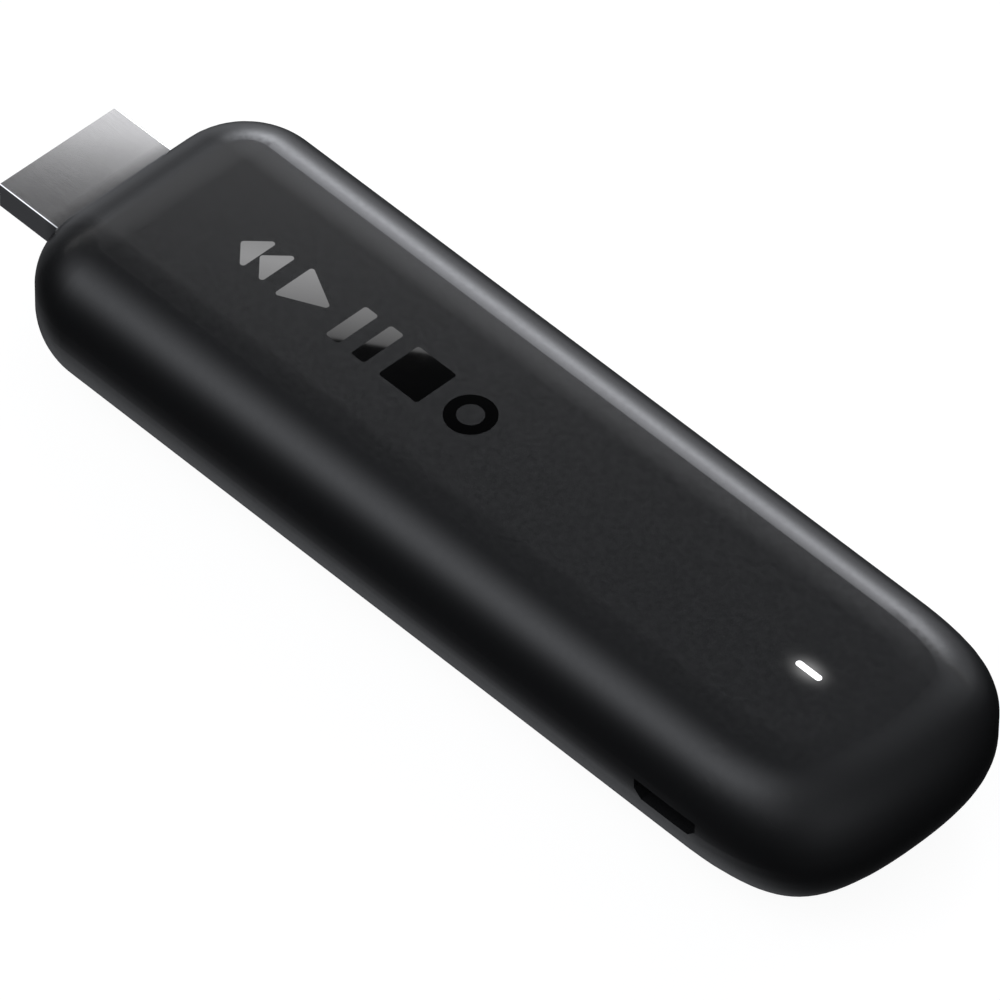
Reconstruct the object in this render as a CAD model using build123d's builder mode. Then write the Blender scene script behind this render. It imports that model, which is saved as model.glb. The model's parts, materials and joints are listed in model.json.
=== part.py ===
from build123d import *

import math
import os

# A streaming media stick: a pebble-shaped plastic housing with a fixed video plug at one
# end, a power socket on one long side and a status light on top. All sizes in millimetres.
# +X runs from the plug to the light end, +Z is up, and the stick lies on its underside.

# ---- driving dimensions: housing -------------------------------------------------------
PLUG_REACH = 8.4            # plug shell in front of the housing
BODY_LENGTH = 99.0
BODY_WIDTH = 30.2
BODY_HEIGHT = 15.0
TOTAL_LENGTH = PLUG_REACH + BODY_LENGTH
TIP_X = -TOTAL_LENGTH / 2   # the open end of the plug
PLUG_END_X = TIP_X + PLUG_REACH
LIGHT_END_X = TOTAL_LENGTH / 2
PLUG_END_CORNER = 8.2       # plan radius of the two corners beside the plug
LIGHT_END_HANDLE = 0.77     # Bezier handle share: 0.55 is a circle, 1 a square corner
TOP_ROLL = 5.5              # radius of the edge between the top and the sides
UNDERSIDE_ROLL = 7.4        # radius of the edge between the sides and the underside
WALL = 1.4
TOP_WALL = 1.5
SEAM_Z = 2.6                # the tub ends here and the underside cover starts
SEAM_GAP = 0.12
CUT_START = 1.0             # openings are cut from this far outside the wall
CUT_REACH = CUT_START + 2 * WALL
HALF_WIDTH = BODY_WIDTH / 2
CEILING_Z = BODY_HEIGHT - TOP_WALL

# ---- driving dimensions: circuit board ---------------------------------------------------
BOARD_THICKNESS = 1.0
BOARD_TOP = 7.9
BOARD_UNDER = BOARD_TOP - BOARD_THICKNESS
BOARD_MARGIN = 2.6          # from the housing's outline to the board's edge
BOARD_START_X = -38.5
SCREW_PLACES = [(-33.5, 9.6), (-33.5, -9.6), (24.5, 9.6), (24.5, -9.6)]
BOSS_RADIUS = 1.8
BOSS_HOLE_RADIUS = 0.75
BOARD_HOLE_RADIUS = 0.95
SCREW_RADIUS = 0.7
SCREW_HEAD_RADIUS = 1.45
SCREW_HEAD_HEIGHT = 0.9
SCREW_LENGTH = 4.2

# ---- driving dimensions: video plug ------------------------------------------------------
PLUG_WIDTH = 13.9
PLUG_HEIGHT = 4.45
PLUG_SIDE = 2.65            # straight part of the plug's short sides
PLUG_FLOOR_WIDTH = 10.1
PLUG_SHEET = 0.3
PLUG_BEND = 0.2
PLUG_TAB = (2.8, 2.4)       # length and height of a solder tab
PLUG_Z = BOARD_TOP - BOARD_THICKNESS / 2
PLUG_REAR_X = BOARD_START_X - 0.1
PLUG_HOLE_GAP = 0.12
PLUG_PITCH = 1.0
TONGUE_SLOT = (11.4, 1.9)   # width and height of the slot for the socket's tongue
TONGUE_SLOT_DEPTH = 7.2
PLUG_BLOCK_START = TIP_X + 0.5

# ---- driving dimensions: power socket ----------------------------------------------------
SOCKET_X = 37.7
SOCKET_Z = 7.65
SOCKET_MOUTH_Y = -13.55
SOCKET_DEPTH = 5.2
SOCKET_WIDTH = 7.5
SOCKET_HEIGHT = 2.4
SOCKET_CUT = 1.0            # the lower corners are cut by this much each way
SOCKET_SHEET = 0.25
SOCKET_BEND = 0.3
PORT = (7.25, 1.95, 0.85)   # width, height and corner cut of the opening in the side wall

# ---- driving dimensions: status light ----------------------------------------------------
LIGHT_X = 39.5
LIGHT_SLOT = (2.95, 0.66)   # length and width of the slot in the top
LIGHT_GAP = 0.03
LED_TOP = BOARD_TOP + 0.6

# ---- driving dimensions: mark on the top --------------------------------------------------
MARK_START_X = -30.3
MARK_END_X = 0.8
MARK_HEIGHT = 4.8
MARK_DEPTH = 0.25
MARK_CORNER = 0.3
MARK_BAR = 0.34             # width of a pause bar as a share of the mark's height
MARK_RING = 0.52            # inner radius of the ring as a share of its outer radius

# ---- driving dimensions: shields and heat path ---------------------------------------------
SHIELD_CENTRE_X = -7.0
SHIELD_SIZE = (42.0, 20.0)
SHIELD_HEIGHT = 1.7         # from the board to the outside of a shield's lid
SHEET = 0.2
PAD = 0.8
SPREADER = 0.9
FIN_HEIGHT = 1.1

os.makedirs("parts", exist_ok=True)


def save(part, label):
    """Labels a finished piece and writes it as parts/LABEL.step."""
    part.label = label
    export_step(part, f"parts/{label}.step")


def body_outline(inset):
    """Draws the stick's plan, inset from its widest line: round corners at the plug end and one
    soft bow, two Bezier quarters, at the light end."""
    back = PLUG_END_X + inset
    front = LIGHT_END_X - inset
    half = HALF_WIDTH - inset
    corner = PLUG_END_CORNER - inset
    bow = front - half
    handle = LIGHT_END_HANDLE * half
    with BuildLine() as plan:
        upper = Line((bow, half), (back + corner, half))
        left_top = RadiusArc(upper @ 1, (back, half - corner), -corner)
        end = Line(left_top @ 1, (back, corner - half))
        left_low = RadiusArc(end @ 1, (back + corner, -half), -corner)
        lower = Line(left_low @ 1, (bow, -half))
        Bezier(lower @ 1, (bow + handle, -half), (front, -handle), (front, 0))
        Bezier((front, 0), (front, handle), (bow + handle, half), (bow, half))
    make_face(plan.line)


def pebble(inset, floor, ceiling):
    """A solid with the body's outline and rolled top and underside edges."""
    with BuildPart(mode=Mode.PRIVATE) as shape:
        with BuildSketch(Plane.XY.offset(floor)):
            body_outline(inset)
        extrude(amount=ceiling - floor)
        fillet(shape.edges().group_by(Axis.Z)[-1], TOP_ROLL - inset)
        fillet(shape.edges().group_by(Axis.Z)[0], UNDERSIDE_ROLL - inset)
    return shape.part


def plug_outline():
    """Draws the video plug's D shape, wide side up, with the bends of its folded sheet."""
    half_top = PLUG_WIDTH / 2
    half_floor = PLUG_FLOOR_WIDTH / 2
    top = PLUG_HEIGHT / 2
    knee = top - PLUG_SIDE
    with BuildLine() as shape:
        Polyline(
            (-half_top, top),
            (half_top, top),
            (half_top, knee),
            (half_floor, -top),
            (-half_floor, -top),
            (-half_top, knee),
            close=True,
        )
    make_face(shape.line)
    fillet(vertices(), PLUG_BEND)


def socket_outline(width, height, cut):
    """Draws the power socket's shape: a bar whose two lower corners are cut."""
    with BuildLine() as shape:
        Polyline(
            (-width / 2, height / 2),
            (width / 2, height / 2),
            (width / 2, cut - height / 2),
            (width / 2 - cut, -height / 2),
            (cut - width / 2, -height / 2),
            (-width / 2, cut - height / 2),
            close=True,
        )
    make_face(shape.line)


# Planes that the connectors are drawn on. The plug's plane looks out of the plug (-X), so its
# own x runs along -Y. The socket's plane looks out of the socket (-Y), its own x along +X.
PLUG_PLANE = Plane(origin=(TIP_X, 0, PLUG_Z), x_dir=(0, -1, 0), z_dir=(-1, 0, 0))
SOCKET_PLANE = Plane(origin=(SOCKET_X, SOCKET_MOUTH_Y, SOCKET_Z), x_dir=(1, 0, 0), z_dir=(0, -1, 0))

outer_body = pebble(0, 0, BODY_HEIGHT)
inner_space = pebble(WALL, WALL, CEILING_Z)


def playback_mark():
    """A row of five generic playback signs: rewind, play, pause, stop and a ring."""
    sign = MARK_HEIGHT
    pitch = (MARK_END_X - MARK_START_X - sign) / 4
    first = MARK_START_X + sign / 2
    half = sign / 2
    bar = sign * MARK_BAR
    with BuildSketch(Plane.XY.offset(BODY_HEIGHT - MARK_DEPTH)) as signs:
        with Locations((first - half / 2, 0), (first + half / 2, 0)):
            Polygon((half / 2, half), (half / 2, -half), (-half / 2, 0))
        with Locations((first + pitch, 0)):
            Polygon((-half, half), (-half, -half), (half, 0))
        with Locations((first + 2 * pitch, 0)):
            with GridLocations(sign - bar, 1, 2, 1):
                Rectangle(bar, sign)
        with Locations((first + 3 * pitch, 0)):
            Rectangle(sign, sign)
        fillet(signs.vertices(), MARK_CORNER)
        with Locations((first + 4 * pitch, 0)):
            Circle(half)
            Circle(half * MARK_RING, mode=Mode.SUBTRACT)
    return signs.sketch


mark_sketch = playback_mark()

# ---- underside cover's snap hooks, whose pockets are cut in the tub -----------------------
HOOK_WIDTH = 4.0
HOOK_PLACES = [-26.0, 2.0, 30.0]
HOOK_INNER_Y = 10.0
HOOK_OUTER_Y = 11.0
HOOK_TOP = 5.0
NOSE_Z = 3.9
NOSE_OUT_Y = 13.0
POCKET_OUT_Y = 13.2
POCKET_CLEARANCE = 0.15
FLOOR_RIB_LOW = WALL - 0.2
FLOOR_RIB_WIDTH = 0.9
FLOOR_CROSS_RIB = 14.0      # length of the three ribs across the floor
FLOOR_GRID = (34.0, 11.0)   # length of the two long ribs and the distance between them

# ---- light guide's flange, hung from the ceiling on two pegs -------------------------------
GUIDE_FLANGE = (7.6, 3.0)
GUIDE_FLANGE_SHEET = 0.7
GUIDE_FLANGE_Z = CEILING_Z - GUIDE_FLANGE_SHEET
GUIDE_PEGS = [(LIGHT_X - 3.0, 0), (LIGHT_X + 3.0, 0)]
GUIDE_PEG_RADIUS = 0.4
GUIDE_PEG_TIP = 0.4         # how far a peg stands out below the flange
GUIDE_STEM = (2.6, 1.4)
LED_GAP = 0.15

# ---- ribs that locate the board, and the notches they stand in ------------------------------
RIB_PLACES = [-20.0, 12.0]
RIB_INNER_Y = 12.0
RIB_WIDTH = 1.0
RIB_HEIGHT = 4.0
RIB_ROOT = 0.4              # a rib's extra length, half of it sunk in the wall

# ---- housing tub: top and sides in one moulding ---------------------------------------------
with BuildPart() as top_housing:
    add(outer_body)
    add(inner_space, mode=Mode.SUBTRACT)
    split(bisect_by=Plane.XY.offset(SEAM_Z), keep=Keep.TOP)
    # opening for the video plug, through the end wall
    with BuildSketch(PLUG_PLANE.offset(TIP_X - PLUG_END_X + CUT_START)):
        plug_outline()
        offset(amount=PLUG_HOLE_GAP, kind=Kind.INTERSECTION)
    extrude(amount=-CUT_REACH, mode=Mode.SUBTRACT)
    # opening for the power plug, through the side wall
    with BuildSketch(SOCKET_PLANE.offset(HALF_WIDTH + SOCKET_MOUTH_Y + CUT_START)):
        socket_outline(*PORT)
    extrude(amount=-CUT_REACH, mode=Mode.SUBTRACT)
    # slot for the light guide and shallow pockets for the mark
    with BuildSketch(Plane.XY.offset(CEILING_Z)):
        with Locations((LIGHT_X, 0)):
            SlotOverall(*LIGHT_SLOT)
    extrude(amount=TOP_WALL, mode=Mode.SUBTRACT)
    extrude(mark_sketch, amount=MARK_DEPTH, mode=Mode.SUBTRACT)
    # screw bosses that hold the board, hanging from the ceiling
    with BuildSketch(Plane.XY.offset(BOARD_TOP)):
        with Locations(*SCREW_PLACES):
            Circle(BOSS_RADIUS)
            Circle(BOSS_HOLE_RADIUS, mode=Mode.SUBTRACT)
    extrude(amount=CEILING_Z - BOARD_TOP)
    # pegs for the light guide's flange
    with BuildSketch(Plane.XY.offset(GUIDE_FLANGE_Z - GUIDE_PEG_TIP)):
        with Locations(*GUIDE_PEGS):
            Circle(GUIDE_PEG_RADIUS)
    extrude(amount=CEILING_Z - GUIDE_FLANGE_Z + GUIDE_PEG_TIP)
    # ribs on the side walls that keep the board from moving
    with BuildSketch(Plane.XY.offset(BOARD_UNDER)):
        for x in RIB_PLACES:
            for side in (1, -1):
                with Locations((x, side * (RIB_INNER_Y + HALF_WIDTH - WALL) / 2)):
                    Rectangle(RIB_WIDTH, HALF_WIDTH - WALL - RIB_INNER_Y + RIB_ROOT)
    extrude(amount=RIB_HEIGHT)
    # pockets that the cover's hooks catch in
    with BuildSketch(Plane.XY.offset(NOSE_Z - POCKET_CLEARANCE)):
        for x in HOOK_PLACES:
            for side in (1, -1):
                with Locations((x, side * (POCKET_OUT_Y + HOOK_OUTER_Y) / 2)):
                    Rectangle(HOOK_WIDTH + 2 * POCKET_CLEARANCE, POCKET_OUT_Y - HOOK_OUTER_Y)
    extrude(amount=HOOK_TOP - NOSE_Z + 2 * POCKET_CLEARANCE, mode=Mode.SUBTRACT)
save(top_housing.part, "top_housing")

LID_TOP = BOARD_TOP + SHIELD_HEIGHT
LID_UNDER = BOARD_UNDER - SHIELD_HEIGHT
UPPER_PLATE_LOW = LID_TOP + PAD
LOWER_PLATE_LOW = LID_UNDER - PAD - SPREADER

# ---- underside cover with its floor ribs and snap hooks -------------------------------------
with BuildPart() as underside_cover:
    add(outer_body)
    add(inner_space, mode=Mode.SUBTRACT)
    split(bisect_by=Plane.XY.offset(SEAM_Z - SEAM_GAP), keep=Keep.BOTTOM)
    # hook beams, each with a nose that leans out into its pocket
    for x in HOOK_PLACES:
        for side in (1, -1):
            hook_end = (x - side * HOOK_WIDTH / 2, 0, 0)
            with BuildSketch(Plane(origin=hook_end, x_dir=(0, side, 0), z_dir=(side, 0, 0))):
                Polygon(
                    (HOOK_INNER_Y, FLOOR_RIB_LOW),
                    (HOOK_OUTER_Y, FLOOR_RIB_LOW),
                    (HOOK_OUTER_Y, NOSE_Z),
                    (NOSE_OUT_Y, NOSE_Z + 0.1),
                    (NOSE_OUT_Y, NOSE_Z + 0.35),
                    (HOOK_OUTER_Y, HOOK_TOP),
                    (HOOK_INNER_Y, HOOK_TOP),
                    align=None,
                )
            extrude(amount=HOOK_WIDTH)
    # floor ribs that the lower heat plate rests on
    with BuildSketch(Plane.XY.offset(FLOOR_RIB_LOW)):
        with Locations((SHIELD_CENTRE_X, 0)):
            with GridLocations(FLOOR_GRID[0] / 2, 1, 3, 1):
                Rectangle(FLOOR_RIB_WIDTH, FLOOR_CROSS_RIB)
            with GridLocations(1, FLOOR_GRID[1], 1, 2):
                Rectangle(FLOOR_GRID[0], FLOOR_RIB_WIDTH)
    extrude(amount=LOWER_PLATE_LOW - FLOOR_RIB_LOW)
save(underside_cover.part, "underside_cover")

# ---- glossy mark, set flush into the top -----------------------------------------------------
with BuildPart() as glossy_mark:
    extrude(mark_sketch, amount=MARK_DEPTH)
save(glossy_mark.part, "glossy_mark")

# ---- status light: emitter, its black shroud and the light guide -----------------------------
with BuildPart() as led_emitter:
    with BuildSketch(Plane.XY.offset(BOARD_TOP)):
        with Locations((LIGHT_X, 0)):
            Rectangle(1.6, 0.8)
    extrude(amount=LED_TOP - BOARD_TOP)
    chamfer(led_emitter.edges().filter_by(Axis.Z), 0.08)
save(led_emitter.part, "led_emitter")

with BuildPart() as light_guide:
    with BuildSketch(Plane.XY.offset(LED_TOP + LED_GAP)):
        with Locations((LIGHT_X, 0)):
            SlotOverall(*GUIDE_STEM)
    extrude(amount=GUIDE_FLANGE_Z - LED_TOP - LED_GAP)
    with BuildSketch(Plane.XY.offset(GUIDE_FLANGE_Z)):
        with Locations((LIGHT_X, 0)):
            RectangleRounded(*GUIDE_FLANGE, 0.5)
        with Locations(*GUIDE_PEGS):
            Circle(GUIDE_PEG_RADIUS + 0.05, mode=Mode.SUBTRACT)
    extrude(amount=GUIDE_FLANGE_SHEET)
    with BuildSketch(Plane.XY.offset(CEILING_Z)):
        with Locations((LIGHT_X, 0)):
            SlotOverall(LIGHT_SLOT[0] - 2 * LIGHT_GAP, LIGHT_SLOT[1] - 2 * LIGHT_GAP)
    extrude(amount=TOP_WALL)
save(light_guide.part, "light_guide")

with BuildPart() as light_shroud:
    with BuildSketch(Plane.XY.offset(BOARD_TOP)):
        with Locations((LIGHT_X, 0)):
            RectangleRounded(4.6, 3.6, 0.5)
            RectangleRounded(3.0, 1.8, 0.3, mode=Mode.SUBTRACT)
    extrude(amount=GUIDE_FLANGE_Z - 0.5 - BOARD_TOP)
save(light_shroud.part, "light_shroud")

# ---- video plug: folded steel shell -----------------------------------------------------------
with BuildPart() as video_plug_shell:
    with BuildSketch(PLUG_PLANE):
        plug_outline()
        offset(amount=-PLUG_SHEET, mode=Mode.SUBTRACT)
    extrude(amount=TIP_X - PLUG_REAR_X)
    # two solder tabs that reach through the board
    with BuildSketch(Plane.YZ.offset(PLUG_REAR_X)):
        for side in (1, -1):
            with Locations((side * (PLUG_WIDTH - PLUG_SHEET) / 2, PLUG_Z)):
                Rectangle(PLUG_SHEET, PLUG_TAB[1])
    extrude(amount=PLUG_TAB[0])
    # the seam where the folded sheet meets, along the middle of the narrow side
    with BuildSketch(Plane.XY.offset(PLUG_Z - PLUG_HEIGHT / 2)):
        with Locations(((TIP_X + PLUG_REAR_X) / 2, 0)):
            Rectangle(PLUG_REAR_X - TIP_X, 0.1)
    extrude(amount=PLUG_SHEET, mode=Mode.SUBTRACT)
save(video_plug_shell.part, "video_plug_shell")

# ---- video plug: moulded block with the slot for the socket's tongue ---------------------------
ROW_Z = 1.15                # a contact row's straight run, from the plug's middle
CONTACT_SHEET = 0.2
CONTACT_WIDTH = 0.42
CONTACT_FRONT = 1.0         # from the block's front to a contact's tip
GROOVE_START = 0.7          # grooves run from this far off the plug's middle to a contact's back
GROOVE = (CONTACT_WIDTH + 0.12, ROW_Z + CONTACT_SHEET / 2 + 0.02 - GROOVE_START)
UPPER_ROW = [(n - 4.5) * PLUG_PITCH for n in range(10)]
LOWER_ROW = [(n - 4.0) * PLUG_PITCH for n in range(9)]
with BuildPart() as video_plug_block:
    with BuildSketch(PLUG_PLANE.offset(TIP_X - PLUG_BLOCK_START)):
        plug_outline()
        offset(amount=-PLUG_SHEET - 0.03)
    extrude(amount=PLUG_BLOCK_START - PLUG_REAR_X)
    with BuildSketch(PLUG_PLANE.offset(TIP_X - PLUG_BLOCK_START)):
        Rectangle(*TONGUE_SLOT)
    extrude(amount=-TONGUE_SLOT_DEPTH, mode=Mode.SUBTRACT)
    # one groove for each contact, out through the back of the block
    with BuildSketch(PLUG_PLANE.offset(TIP_X - PLUG_BLOCK_START - CONTACT_FRONT + 0.2)):
        for row, side in ((UPPER_ROW, 1), (LOWER_ROW, -1)):
            for y in row:
                with Locations((-y, side * (GROOVE_START + GROOVE[1] / 2))):
                    Rectangle(*GROOVE)
    extrude(amount=PLUG_BLOCK_START - PLUG_REAR_X, mode=Mode.SUBTRACT)
save(video_plug_block.part, "video_plug_block")


def plug_contacts(row, side):
    """Adds one row of sprung contacts: a bowed nose in the slot, a straight run and a solder tail."""
    front = PLUG_BLOCK_START + CONTACT_FRONT
    rest = PLUG_Z + side * ROW_Z
    bow = PLUG_Z + side * (ROW_Z - 0.42)
    tail = PLUG_Z + side * (BOARD_THICKNESS + CONTACT_SHEET) / 2
    for y in row:
        contact_side = (0, y + CONTACT_WIDTH / 2, 0)
        with BuildSketch(Plane(origin=contact_side, x_dir=(1, 0, 0), z_dir=(0, -1, 0))) as strip:
            with BuildLine() as path:
                FilletPolyline(
                    (front, rest),
                    (front + 1.8, bow),
                    (front + 4.6, rest),
                    (PLUG_REAR_X - 0.4, rest),
                    (PLUG_REAR_X + 0.35, tail),
                    (PLUG_REAR_X + 1.7, tail),
                    radius=0.25,
                )
            trace(path.line, CONTACT_SHEET)
        extrude(strip.sketch, amount=CONTACT_WIDTH)


with BuildPart() as video_contacts_upper:
    plug_contacts(UPPER_ROW, 1)
save(video_contacts_upper.part, "video_contacts_upper")
with BuildPart() as video_contacts_lower:
    plug_contacts(LOWER_ROW, -1)
save(video_contacts_lower.part, "video_contacts_lower")

# ---- main circuit board ------------------------------------------------------------------------
with BuildPart() as main_board:
    with BuildSketch(Plane.XY.offset(BOARD_UNDER)) as board_plan:
        body_outline(BOARD_MARGIN)
        split(bisect_by=Plane.YZ.offset(BOARD_START_X), keep=Keep.TOP)
        # slots for the plug's tabs, open at the board's end
        for side in (1, -1):
            with Locations((BOARD_START_X + PLUG_TAB[0] / 2, side * (PLUG_WIDTH - PLUG_SHEET) / 2)):
                Rectangle(PLUG_TAB[0] + 0.1, PLUG_SHEET + 0.12, mode=Mode.SUBTRACT)
        # notch that the power socket sits in
        with Locations((SOCKET_X, SOCKET_MOUTH_Y + SOCKET_DEPTH / 2)):
            Rectangle(SOCKET_WIDTH + 0.2, SOCKET_DEPTH + 0.2, mode=Mode.SUBTRACT)
        with Locations(*SCREW_PLACES):
            Circle(BOARD_HOLE_RADIUS, mode=Mode.SUBTRACT)
        # notches for the housing's ribs
        for x in RIB_PLACES:
            for side in (1, -1):
                with Locations((x, side * RIB_INNER_Y)):
                    Rectangle(RIB_WIDTH + 0.2, 2 * (HALF_WIDTH - BOARD_MARGIN - RIB_INNER_Y) + 0.2,
                              mode=Mode.SUBTRACT)
    extrude(amount=BOARD_THICKNESS)
save(main_board.part, "main_board")

# ---- board screws --------------------------------------------------------------------------------
with BuildPart() as board_screws:
    with BuildSketch(Plane.XY.offset(BOARD_UNDER - SCREW_HEAD_HEIGHT)):
        with Locations(*SCREW_PLACES):
            Circle(SCREW_HEAD_RADIUS)
    extrude(amount=SCREW_HEAD_HEIGHT)
    fillet(board_screws.edges().group_by(Axis.Z)[0], 0.35)
    with BuildSketch(Plane.XY.offset(BOARD_UNDER)):
        with Locations(*SCREW_PLACES):
            Circle(SCREW_RADIUS)
    extrude(amount=SCREW_LENGTH)
    # cross recess in each head
    with BuildSketch(Plane.XY.offset(BOARD_UNDER - SCREW_HEAD_HEIGHT)):
        with Locations(*SCREW_PLACES):
            Rectangle(1.6, 0.34)
            Rectangle(0.34, 1.6)
    extrude(amount=0.5, mode=Mode.SUBTRACT)
save(board_screws.part, "board_screws")

# ---- power socket: shell, tongue and contacts ------------------------------------------------------
SOCKET_BACK = 0.6           # thickness of the socket's closed back
SOCKET_WING = (1.3, 2.2)
SOCKET_BACK_PLANE = SOCKET_PLANE.offset(SOCKET_BACK - SOCKET_DEPTH)
TONGUE_BASE = 0.8
TONGUE = (3.9, 0.6, 3.6)    # width, thickness and reach of the tongue
TONGUE_RISE = 0.25          # the tongue sits this far above the socket's middle
with BuildPart() as power_socket_shell:
    with BuildSketch(SOCKET_PLANE) as socket_shape:
        socket_outline(SOCKET_WIDTH, SOCKET_HEIGHT, SOCKET_CUT)
        fillet(socket_shape.vertices(), SOCKET_BEND)
    extrude(amount=-SOCKET_DEPTH)
    with BuildSketch(SOCKET_PLANE) as socket_bore:
        socket_outline(SOCKET_WIDTH, SOCKET_HEIGHT, SOCKET_CUT)
        fillet(socket_bore.vertices(), SOCKET_BEND)
        offset(amount=-SOCKET_SHEET)
    extrude(amount=SOCKET_BACK - SOCKET_DEPTH, mode=Mode.SUBTRACT)
    # solder wings that lie on the board beside the notch
    with BuildSketch(Plane.XY.offset(BOARD_TOP)):
        for side in (1, -1):
            with Locations((SOCKET_X + side * (SOCKET_WIDTH + SOCKET_WING[0] - SOCKET_SHEET) / 2,
                            SOCKET_MOUTH_Y + SOCKET_DEPTH / 2)):
                Rectangle(*SOCKET_WING)
    extrude(amount=SOCKET_SHEET)
save(power_socket_shell.part, "power_socket_shell")

with BuildPart() as power_socket_tongue:
    with BuildSketch(SOCKET_BACK_PLANE) as tongue_base:
        socket_outline(SOCKET_WIDTH, SOCKET_HEIGHT, SOCKET_CUT)
        fillet(tongue_base.vertices(), SOCKET_BEND)
        offset(amount=-SOCKET_SHEET - 0.03)
    extrude(amount=TONGUE_BASE)
    with BuildSketch(SOCKET_BACK_PLANE.offset(TONGUE_BASE)):
        with Locations((0, TONGUE_RISE)):
            Rectangle(TONGUE[0], TONGUE[1])
    extrude(amount=TONGUE[2] - TONGUE_BASE)
    chamfer(power_socket_tongue.faces().sort_by(Axis.Y)[0].edges(), 0.12)
save(power_socket_tongue.part, "power_socket_tongue")

SOCKET_CONTACT = (0.35, 0.12)
with BuildPart() as power_socket_contacts:
    with BuildSketch(SOCKET_BACK_PLANE.offset(TONGUE_BASE)):
        with Locations((0, TONGUE_RISE - TONGUE[1] / 2 - SOCKET_CONTACT[1] / 2)):
            with GridLocations(0.65, 1, 5, 1):
                Rectangle(*SOCKET_CONTACT)
    extrude(amount=TONGUE[2] - TONGUE_BASE - 0.4)
save(power_socket_contacts.part, "power_socket_contacts")


def packages(places, size, height, low, corner):
    """Adds one flat package with broken upright edges at each place, standing on height low."""
    with BuildSketch(Plane.XY.offset(low)) as base:
        with Locations(*places):
            Rectangle(*size)
        chamfer(base.vertices(), corner)
    extrude(base.sketch, amount=height)


# ---- packages on the board's top, inside the upper shield ---------------------------------------------
PROCESSOR_PLACE = (-3.0, 0)
INDUCTOR_PLACES = [(7.6, -1.4), (7.6, -4.4), (7.6, -7.4), (11.4, -4.4), (11.4, -7.4)]
PROCESSOR_HEIGHT = 1.1
with BuildPart() as processor:
    packages([PROCESSOR_PLACE], (13.0, 13.0), PROCESSOR_HEIGHT, BOARD_TOP, 0.15)
save(processor.part, "processor")
with BuildPart() as memory_chips:
    packages([(-17.5, 4.6), (-17.5, -4.6)], (11.0, 7.6), 0.9, BOARD_TOP, 0.15)
save(memory_chips.part, "memory_chips")
with BuildPart() as power_manager:
    packages([(8.6, 4.2)], (5.0, 5.0), 0.85, BOARD_TOP, 0.12)
save(power_manager.part, "power_manager")
with BuildPart() as power_inductors:
    packages(INDUCTOR_PLACES, (2.6, 2.1), 1.2, BOARD_TOP, 0.3)
save(power_inductors.part, "power_inductors")
with BuildPart() as clock_crystal:
    packages([(-3.0, 7.7)], (3.2, 1.6), 0.7, BOARD_TOP, 0.1)
save(clock_crystal.part, "clock_crystal")

# ---- packages under the board, inside the lower shield -------------------------------------------------
STORAGE_PLACE = (-15.0, 0)
STORAGE_HEIGHT = 1.0
SHIFTER_HEIGHT = 0.8
with BuildPart() as storage_chip:
    packages([STORAGE_PLACE], (13.0, 11.5), STORAGE_HEIGHT, BOARD_UNDER - STORAGE_HEIGHT, 0.15)
save(storage_chip.part, "storage_chip")
with BuildPart() as video_level_shifter:
    packages([(2.5, 2.0)], (4.0, 4.0), SHIFTER_HEIGHT, BOARD_UNDER - SHIFTER_HEIGHT, 0.12)
save(video_level_shifter.part, "video_level_shifter")

# ---- shields: a soldered frame and a clip-on lid on each face of the board -----------------------------
FRAME_HEIGHT = SHIELD_HEIGHT - SHEET
FRAME_LEDGE = 1.2
LID_SIZE = (SHIELD_SIZE[0] + 2 * SHEET + 0.1, SHIELD_SIZE[1] + 2 * SHEET + 0.1)
LID_LIFT = 0.4              # the lid's rim stays this far off the board
RIM_SLOT = (0.5, 0.6)


def shield_frame(low, ledge_low, bar_x):
    """Adds the frame: a thin wall with an inward ledge and one bar across its open side."""
    inside = (SHIELD_SIZE[0] - 2 * SHEET, SHIELD_SIZE[1] - 2 * SHEET)
    opening = (SHIELD_SIZE[0] - 2 * FRAME_LEDGE, SHIELD_SIZE[1] - 2 * FRAME_LEDGE)
    with BuildSketch(Plane.XY.offset(low)) as wall:
        with Locations((SHIELD_CENTRE_X, 0)):
            RectangleRounded(*SHIELD_SIZE, 1.0)
            RectangleRounded(*inside, 0.8, mode=Mode.SUBTRACT)
    extrude(wall.sketch, amount=FRAME_HEIGHT)
    with BuildSketch(Plane.XY.offset(ledge_low)) as ledge:
        with Locations((SHIELD_CENTRE_X, 0)):
            RectangleRounded(*SHIELD_SIZE, 1.0)
            RectangleRounded(*opening, 0.6, mode=Mode.SUBTRACT)
        with Locations((bar_x, 0)):
            Rectangle(1.2, inside[1])
    extrude(ledge.sketch, amount=SHEET)


def shield_lid(low, hollow_low):
    """Adds the lid: a shallow tray over the frame, its rim cut into springs."""
    depth = SHIELD_HEIGHT - LID_LIFT
    with BuildSketch(Plane.XY.offset(low)) as outside:
        with Locations((SHIELD_CENTRE_X, 0)):
            RectangleRounded(*LID_SIZE, 1.25)
    extrude(outside.sketch, amount=depth)
    with BuildSketch(Plane.XY.offset(hollow_low)) as hollow:
        with Locations((SHIELD_CENTRE_X, 0)):
            RectangleRounded(LID_SIZE[0] - 2 * SHEET, LID_SIZE[1] - 2 * SHEET, 1.05)
    extrude(hollow.sketch, amount=depth - SHEET, mode=Mode.SUBTRACT)


def rim_slots(low):
    """Cuts the slots between the springs of a lid's long rims."""
    with BuildSketch(Plane.XY.offset(low)) as slots:
        with Locations((SHIELD_CENTRE_X, 0)):
            with GridLocations(6.0, 1, 6, 1):
                Rectangle(RIM_SLOT[0], LID_SIZE[1])
    extrude(slots.sketch, amount=RIM_SLOT[1], mode=Mode.SUBTRACT)


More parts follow.
